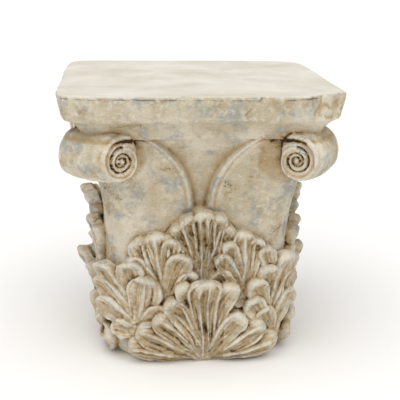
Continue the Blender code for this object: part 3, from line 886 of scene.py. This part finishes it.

# %% [markdown]
# ## The finish
#
# Cast stone is a fine, matt, grey-beige mortar. This one was lime washed, rubbed with a
# brown patina that stayed in the hollows, and dry brushed almost white on the high parts,
# where the pale is also a painted highlight. How thick the wash lies is worked out first,
# on the points, and it carries painted shade too: it sits in hollows of three sizes, the
# largest of which stands for the shade that gathers in recesses, on the leaves and the
# spirals, as painted shade in the crease under the cove and at the foot of the panels'
# edges, beside the arches and on the break, and it is rubbed off the open faces. It is a
# little darker towards the foot as well.

# %% Where the wash and the painted shade lie thick
DEEP_UNIT = 0.006
SLAB_FADE = 0.012
EYE_ALONG = 0.30 * W
STAIN_RADIUS = 0.040
CREASE_DROP = 0.031
CREASE_WIDTH = 0.004
LOW_BAND = 0.10

mesh = stone.data
places, ends = mesh_arrays(mesh)
normals = vertex_normals(mesh)
# The largest scale darkens recesses as painted shade, where light would fall short.
deep = ((smoothed(places, ends, 70) - places) * normals).sum(axis=1) / DEEP_UNIT
fine, broad = point_values(mesh, "fine_depth"), point_values(mesh, "broad_depth")
leafy = leaf_lines(mesh)[2]
x, y, z = places.T
facing = np.abs(normals[:, 2]) < 0.45
across = np.minimum(np.abs(x), np.abs(y))
slab_foot = HEIGHT - SLAB_THICKNESS
slabby = smoothstep((z - (slab_foot - SLAB_FADE)) / SLAB_FADE)
from_eye = np.hypot(across - EYE_ALONG, z - SCROLL_HEIGHT)
on_scroll = (1.0 - smoothstep((from_eye - STAIN_RADIUS) / 0.010)) * (1.0 - slabby) * facing
# Painted shade in the crease at the foot of the cove, under the slab.
crease = bump(z - (slab_foot - CREASE_DROP), CREASE_WIDTH)
crease = crease * smoothstep((across - 0.16 * W) / 0.03)
beside_arch = arch_reach(z) - across
# Wash lies in the groove along the arch's rim, and painted shade darkens the foot of the sunk
# panel's edge, under its step.
arch = bump(beside_arch + 0.010, 0.005) + 0.8 * bump(beside_arch - 0.002, 0.004)
arch = arch * above_arch_foot(z) * (1.0 - slabby) * (1.0 - on_scroll) * (across < 0.28 * W)
past_break = x * BREAK_X + y * BREAK_Y - BREAK_REACH
broken = smoothstep((past_break + 0.012) / 0.008) * slabby
# Brown patina and painted shade together, heaviest in the deepest hollows.
wash_and_shade = 0.26 * deep + (0.62 - 0.22 * leafy) * broad + 0.42 * fine + 0.52 * leafy * (1.0 - slabby)
wash_and_shade = wash_and_shade + on_scroll * (0.82 + 0.45 * broad + 0.2 * fine)
wash_and_shade = wash_and_shade + 1.4 * crease + 0.45 * arch + 0.3 * broken
# A little darker towards the foot, up to 0.12 m.
wash_and_shade = wash_and_shade + 0.12 * (1.0 - smoothstep((z - 0.02) / LOW_BAND))
put_values(mesh, "wash_and_shade", np.clip(wash_and_shade, -2.0, 3.0))
print("wash percentiles", np.round(np.percentile(wash_and_shade, [5, 25, 50, 75, 95]), 2))

# %% [markdown]
# ### The layers of colour
#
# Each layer below lies over the one before it, and shows where its mask passes between
# two values. The masks are noises with grains of real sizes in millimetres, the wash and
# painted shade that were worked out above, and the ridges, painted pale as dry brush and
# as painted highlight. The numbers drawn on each leaf's lobes give streaks that run along
# the lobe, as a brush leaves them. Roughness is 0.9 and the gloss is low, because lime
# wash has no shine: the eye reads only its colour and its grain.

# %% Lime washed cast stone
# A grain is a name, its size in millimetres, and the detail and roughness of its noise.
GRAINS = (
    ("cloud", 90.0, 5.0, 0.6), ("patch", 34.0, 5.0, 0.65),
    ("smear", 55.0, 6.0, 0.7), ("mottle", 8.0, 5.0, 0.65), ("speck", 2.6, 3.0, 0.7))
# A layer is a mask, the values where it starts and is full, its strength and its colour.
LAYERS = (
    ("cloud", 0.36, 0.64, 0.9, "#ddd4c1"), ("smear", 0.47, 0.68, 0.78, "#a8916a"),
    ("patch", 0.48, 0.68, 0.80, "#9b9d99"), ("mottle", 0.46, 0.70, 0.60, "#e3ded2"),
    # The settled layers are brown wash in the hollows; the last of them, almost black, is painted
    # shade in the deepest crevices.
    ("speck", 0.56, 0.72, 0.40, "#8a7757"), ("settled_wash_and_shade", 0.10, 0.95, 0.75, "#b2976d"),
    ("settled_wash_and_shade", 0.95, 1.70, 0.80, "#80653f"), ("settled_wash_and_shade", 1.60, 2.30, 0.97, "#2f2212"),
    # The raised layer is pale dry brushing on the ridges and also a painted highlight.
    ("raised", 0.95, 1.55, 0.55, "#dbd8ce"), ("crack", 0.3, 0.9, 0.80, "#4d3e29"),
    # The last layer is a painted shadow line of the groove under the top.
    ("groove_shade", 0.2, 0.9, 0.85, "#54442e"))
GROOVE_SHADE_DROP = 0.0105
GROOVE_SHADE_WANDER = 0.010
CRACK_MM = 85.0
TOP_FADE_LOW = 0.0032
TOP_FADE_HIGH = 0.0010
RELIEF_DEPTH = 0.0013


def stone_material():
    """Layers laid one over another, each let through by a mask between two values."""
    material = bpy.data.materials.new("lime washed cast stone")
    material.use_nodes = True
    tree = material.node_tree
    shader = tree.nodes["Principled BSDF"]
    place = node(tree, "ShaderNodeTexCoord").outputs["Object"]
    height = node(tree, "ShaderNodeSeparateXYZ", {}, {"Vector": place}).outputs["Z"]
    wash_and_shade = node(tree, "ShaderNodeAttribute", {"attribute_name": "wash_and_shade"}).outputs["Fac"]
    fine = node(tree, "ShaderNodeAttribute", {"attribute_name": "fine_depth"}).outputs["Fac"]
    drawn = node(tree, "ShaderNodeAttribute", {"attribute_name": "leaf_lines"}).outputs["Color"]
    lines = node(tree, "ShaderNodeSeparateColor", {}, {"Color": drawn}).outputs

    grains = {}
    for name, grain_mm, detail, rough in GRAINS:
        grains[name] = node(tree, "ShaderNodeTexNoise",
                            {"Scale": 1000.0 / grain_mm, "Detail": detail, "Roughness": rough},
                            {"Vector": place}).outputs["Fac"]

    # Streaks along each lobe read as the pull of a brush. A slow drift through space, one
    # step of the noise to 71 mm, keeps any two lobes from looking the same.
    drift = node(tree, "ShaderNodeVectorMath", {"operation": "MULTIPLY", 1: (14.0, 14.0, 14.0)},
                 {0: place}).outputs[0]
    lobed = node(tree, "ShaderNodeVectorMath", {"operation": "MULTIPLY", 1: (3.2, 1.6, 0.0)},
                 {0: drawn}).outputs[0]
    lobed = node(tree, "ShaderNodeVectorMath", {"operation": "ADD"}, {0: lobed, 1: drift}).outputs[0]
    streak = node(tree, "ShaderNodeTexNoise", {"Scale": 1.0, "Detail": 3.0, "Roughness": 0.6},
                  {"Vector": lobed}).outputs["Fac"]
    streak = node(tree, "ShaderNodeMath", {"operation": "MULTIPLY_ADD", 1: 2.6, 2: -1.3},
                  {0: streak}).outputs[0]
    streak = node(tree, "ShaderNodeMath", {"operation": "MULTIPLY"},
                  {0: streak, 1: lines[2]}).outputs[0]
    # Brown lines in the channels between a leaf's ridges are painted shade in the grooves.
    fold = node(tree, "ShaderNodeMath", {"operation": "PINGPONG", 1: 0.5}, {0: lines[0]}).outputs[0]
    channel = node(tree, "ShaderNodeMapRange",
                   {"interpolation_type": "SMOOTHSTEP", "From Min": 0.38, "From Max": 0.50},
                   {"Value": fold}).outputs["Result"]
    channel = node(tree, "ShaderNodeMath", {"operation": "MULTIPLY"},
                   {0: channel, 1: lines[2]}).outputs[0]

    # Brown wash in the hollows, with painted shade where they are deepest, gives them depth; the
    # noises tear its edge.
    settled_wash_and_shade = node(tree, "ShaderNodeMath", {"operation": "MULTIPLY_ADD", 1: 1.8, 2: -1.3},
                   {0: grains["mottle"]}).outputs[0]
    settled_wash_and_shade = node(tree, "ShaderNodeMath", {"operation": "MULTIPLY_ADD", 1: 0.9},
                   {0: grains["speck"], 2: settled_wash_and_shade}).outputs[0]
    settled_wash_and_shade = node(tree, "ShaderNodeMath", {"operation": "ADD"}, {0: wash_and_shade, 1: settled_wash_and_shade}).outputs[0]
    settled_wash_and_shade = node(tree, "ShaderNodeMath", {"operation": "MULTIPLY_ADD", 1: 0.22},
                   {0: channel, 2: settled_wash_and_shade}).outputs[0]
    settled_wash_and_shade = node(tree, "ShaderNodeMath", {"operation": "ADD"}, {0: streak, 1: settled_wash_and_shade}).outputs[0]
    # Pale paint on the ridges is dry brushing, and also a painted highlight where the ridges would
    # catch the light.
    raised = node(tree, "ShaderNodeMath", {"operation": "MULTIPLY_ADD", 1: -0.8},
                  {0: fine, 2: grains["mottle"]}).outputs[0]
    raised = node(tree, "ShaderNodeMath", {"operation": "MULTIPLY_ADD", 1: -0.6},
                  {0: streak, 2: raised}).outputs[0]

    # A broken brown line a few millimetres under the top is a painted shadow line of the thin groove
    # there.
    below = node(tree, "ShaderNodeMath",
                 {"operation": "MULTIPLY_ADD", 1: GROOVE_SHADE_WANDER, 2: HEIGHT - GROOVE_SHADE_DROP},
                 {0: grains["cloud"]}).outputs[0]
    below = node(tree, "ShaderNodeMath", {"operation": "SUBTRACT"}, {0: height, 1: below}).outputs[0]
    below = node(tree, "ShaderNodeMath", {"operation": "ABSOLUTE"}, {0: below}).outputs[0]
    groove_shade = node(tree, "ShaderNodeMapRange", {"From Min": 0.0013, "From Max": 0.0002},
                {"Value": below}).outputs["Result"]
    gaps = node(tree, "ShaderNodeMapRange", {"From Min": 0.42, "From Max": 0.60},
                {"Value": grains["patch"]}).outputs["Result"]
    groove_shade = node(tree, "ShaderNodeMath", {"operation": "MULTIPLY"}, {0: groove_shade, 1: gaps}).outputs[0]

    # Hairline cracks in a few patches show the stone's age; the mottle bends them.
    bent = node(tree, "ShaderNodeVectorMath", {"operation": "MULTIPLY_ADD", 1: (0.03, 0.03, 0.03)},
                {0: grains["mottle"], 2: place}).outputs[0]
    crack = node(tree, "ShaderNodeTexVoronoi",
                 {"feature": "DISTANCE_TO_EDGE", "Scale": 1000.0 / CRACK_MM},
                 {"Vector": bent}).outputs["Distance"]
    crack = node(tree, "ShaderNodeMapRange", {"From Min": 0.011, "From Max": 0.002},
                 {"Value": crack}).outputs["Result"]
    spared = node(tree, "ShaderNodeMapRange", {"From Min": 0.50, "From Max": 0.60},
                  {"Value": grains["smear"]}).outputs["Result"]
    crack = node(tree, "ShaderNodeMath", {"operation": "MULTIPLY"}, {0: crack, 1: spared}).outputs[0]

    masks = dict(grains, settled_wash_and_shade=settled_wash_and_shade, raised=raised, groove_shade=groove_shade, crack=crack)
    colour = node(tree, "ShaderNodeRGB").outputs[0]
    colour.default_value = linear("#c3b79c")
    for mask, low, high, strength, hex_colour in LAYERS:
        amount = node(tree, "ShaderNodeMapRange",
                      {"interpolation_type": "SMOOTHSTEP", "From Min": low, "From Max": high,
                       "To Max": strength}, {"Value": masks[mask]}).outputs["Result"]
        colour = node(tree, "ShaderNodeMix", {"data_type": "RGBA", 7: linear(hex_colour)},
                      {0: amount, 6: colour}).outputs[2]

    # The flat top was brushed from side to side, in strokes about 100 mm long and 8 mm wide.
    stroke_space = node(tree, "ShaderNodeMapping", {"Scale": (2.0, 26.0, 1.0)},
                        {"Vector": place}).outputs["Vector"]
    stroke = node(tree, "ShaderNodeTexNoise", {"Scale": 5.0, "Detail": 5.0, "Roughness": 0.7},
                  {"Vector": stroke_space}).outputs["Fac"]
    stroke = node(tree, "ShaderNodeMath", {"operation": "MULTIPLY_ADD", 1: 0.35},
                  {0: stroke, 2: grains["cloud"]}).outputs[0]
    stroke = node(tree, "ShaderNodeMapRange", {"From Min": 0.50, "From Max": 0.85},
                  {"Value": stroke}).outputs["Result"]
    trowelled = node(tree, "ShaderNodeMix",
                     {"data_type": "RGBA", 6: linear("#c9c3b3"), 7: linear("#ddd9ce")},
                     {0: stroke}).outputs[2]
    on_top = node(tree, "ShaderNodeMapRange",
                  {"interpolation_type": "SMOOTHSTEP", "From Min": HEIGHT - TOP_FADE_LOW,
                   "From Max": HEIGHT - TOP_FADE_HIGH}, {"Value": height}).outputs["Result"]
    colour = node(tree, "ShaderNodeMix", {"data_type": "RGBA"},
                  {0: on_top, 6: colour, 7: trowelled}).outputs[2]
    tree.links.new(colour, shader.inputs["Base Color"])
    shader.inputs["Roughness"].default_value = 0.9
    shader.inputs["IOR"].default_value = 1.5
    shader.inputs["Specular IOR Level"].default_value = 0.3

    # A shallow relief under the light gives the gritty grain, and less of it on the top.
    relief = node(tree, "ShaderNodeMath", {"operation": "MULTIPLY_ADD", 1: 1.6},
                  {0: grains["mottle"], 2: grains["speck"]}).outputs[0]
    relief = node(tree, "ShaderNodeMath", {"operation": "MULTIPLY_ADD", 1: -0.35},
                  {0: channel, 2: relief}).outputs[0]
    relief = node(tree, "ShaderNodeMath", {"operation": "MULTIPLY_ADD", 1: -0.5},
                  {0: streak, 2: relief}).outputs[0]
    strength = node(tree, "ShaderNodeMapRange", {"To Min": 0.75, "To Max": 0.12},
                    {"Value": on_top}).outputs["Result"]
    surface = node(tree, "ShaderNodeBump", {"Distance": RELIEF_DEPTH},
                   {"Height": relief, "Strength": strength}).outputs["Normal"]
    tree.links.new(surface, shader.inputs["Normal"])
    return material


stone.data.materials.clear()
stone.data.materials.append(stone_material())
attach(stone, "root")
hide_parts("capital")
